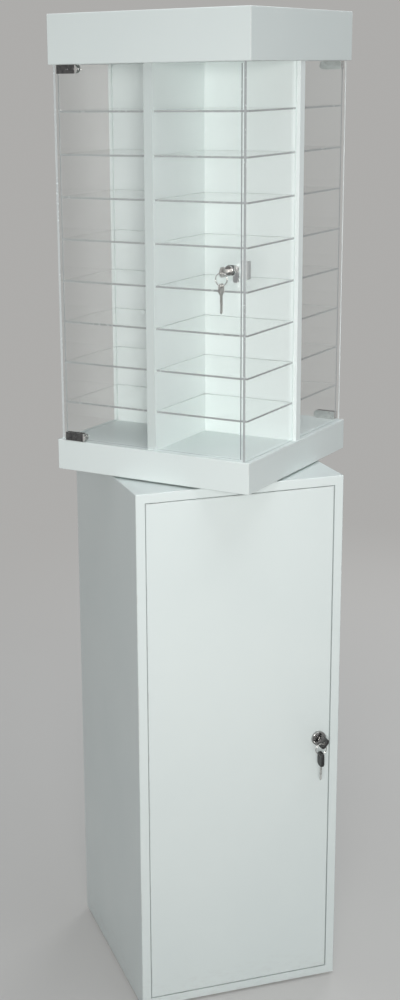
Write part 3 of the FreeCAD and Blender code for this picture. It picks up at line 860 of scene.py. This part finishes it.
studio = {
    "floorColour": (0.60, 0.595, 0.58),
    "floorMottle": {"scale": 1.3, "detail": 5.0, "band": glossBand},
    "mottleLift": 1.03,
    "floorRoughness": 0.75,
    "floorReach": 40.0,
    "floorSides": 64,
    "skyColour": (0.90, 0.95, 1.0),
    "skyStrength": 0.24,
    "pale": (0.42, 0.415, 0.405),  # what the eye sees in the distance
    "paleShare": 0.3,  # how much of it shows on the floor at the object
    "fade": (0.8, 2.8),  # between these distances the floor turns into it
}


def seenDirectly(tree):
    # 1 for what the eye sees straight, mirrored or through glass, 0 for light that falls on the object
    path = addNode(tree, "ShaderNodeLightPath").outputs
    seen = maths(tree, "MAXIMUM", path["Is Camera Ray"], path["Is Glossy Ray"])
    return maths(tree, "MAXIMUM", seen, path["Is Transmission Ray"])


floorMaterial, tree, shader = newMaterial("studioFloor")
lifted = tuple(c * studio["mottleLift"] for c in studio["floorColour"])
mottle = mixColours(tree, patches(tree, studio["floorMottle"]), studio["floorColour"], lifted)
tree.links.new(mottle, shader.inputs["Base Color"])
shader.inputs["Roughness"].default_value = studio["floorRoughness"]
glow = addNode(tree, "ShaderNodeEmission")
glow.inputs["Color"].default_value = (*studio["pale"], 1.0)
distance = addNode(tree, "ShaderNodeVectorMath", operation="LENGTH")
tree.links.new(objectCoords(tree, "Object"), distance.inputs[0])
paleness = spread(tree, distance.outputs["Value"], *studio["fade"], studio["paleShare"], 1.0)
paleness.node.interpolation_type = "SMOOTHSTEP"
paleness = maths(tree, "MULTIPLY", seenDirectly(tree), paleness)
mixShaders(tree, paleness, shader.outputs["BSDF"], glow.outputs["Emission"], "Material Output")

bm = bmesh.new()
bmesh.ops.create_circle(
    bm, cap_ends=True, segments=studio["floorSides"], radius=studio["floorReach"],
)
floorMesh = bpy.data.meshes.new("studioFloor")
bm.to_mesh(floorMesh)
bm.free()
floorMesh.materials.append(floorMaterial)
floor = placeInScene("studioFloor", floorMesh)

world = bpy.data.worlds.new("studioWorld")
scene.world = world
world.use_nodes = True
tree = world.node_tree
sky = tree.nodes["Background"]
sky.inputs["Color"].default_value = (*studio["skyColour"], 1.0)
sky.inputs["Strength"].default_value = studio["skyStrength"]
paleSky = addNode(tree, "ShaderNodeBackground")
paleSky.inputs["Color"].default_value = (*studio["pale"], 1.0)
mixShaders(
    tree, seenDirectly(tree), sky.outputs["Background"], paleSky.outputs["Background"], "World Output",
)

lamps = {
    "keyLamp": {
        "at": (-1.0, -2.75, 1.40), "aim": (0.0, 0.0, 0.98), "size": 1.1, "spread": 75,
        "watts": 10.0, "colour": (1.0, 0.99, 0.97), "mirrored": True,
    },
    "overheadLamp": {
        "at": (0.2, -0.6, 3.6), "aim": (0.0, 0.0, 1.0), "size": 2.4, "spread": 180,
        "watts": 45.0, "colour": (0.96, 0.98, 1.0), "mirrored": True,
    },
    "rearLamp": {  # a fill that doesn't show in the panels
        "at": (2.3, 2.8, 1.2), "aim": (0.0, 0.0, 0.85), "size": 2.0, "spread": 180,
        "watts": 62.0, "colour": (0.98, 0.99, 1.0), "mirrored": False,
    },
}
for name, lamp in lamps.items():
    data = bpy.data.lights.new(name, "AREA")
    data.shape = "DISK"
    data.size = lamp["size"]
    data.energy = lamp["watts"]
    data.spread = math.radians(lamp["spread"])
    data.color = lamp["colour"]
    light = placeInScene(name, data)
    light.visible_camera = False
    light.visible_transmission = False
    light.visible_glossy = lamp["mirrored"]
    light.location = lamp["at"]
    light.rotation_mode = "QUATERNION"
    light.rotation_quaternion = (Vector(lamp["aim"]) - Vector(lamp["at"])).to_track_quat("-Z", "Y")

camera = {
    "at": (-0.84316, -2.34438, 1.52792),
    "yaw": 0.29125,
    "pitch": -0.26391,
    "roll": -0.016653,
    "sensor": 36.0,
    "lens": 55.0839,
    "shift": (0.075773, -0.011202),
}
yaw, pitch, roll = camera["yaw"], camera["pitch"], camera["roll"]
forward = Vector((math.sin(yaw) * math.cos(pitch), math.cos(yaw) * math.cos(pitch), math.sin(pitch)))
right = Vector((math.cos(yaw), -math.sin(yaw), 0.0))
upward = right.cross(forward)
rolledRight = math.cos(roll) * right + math.sin(roll) * upward
rolledUp = -math.sin(roll) * right + math.cos(roll) * upward
view = Matrix((rolledRight, rolledUp, -forward)).transposed().to_4x4()
view.translation = camera["at"]
cameraData = bpy.data.cameras.new("camera")
cameraData.sensor_width = camera["sensor"]
cameraData.lens = camera["lens"]
cameraData.shift_x, cameraData.shift_y = camera["shift"]
cameraObject = placeInScene("camera", cameraData)
cameraObject.matrix_world = view
scene.camera = cameraObject
scene.view_settings.view_transform = "Standard"
print("floor, lamps and camera placed")
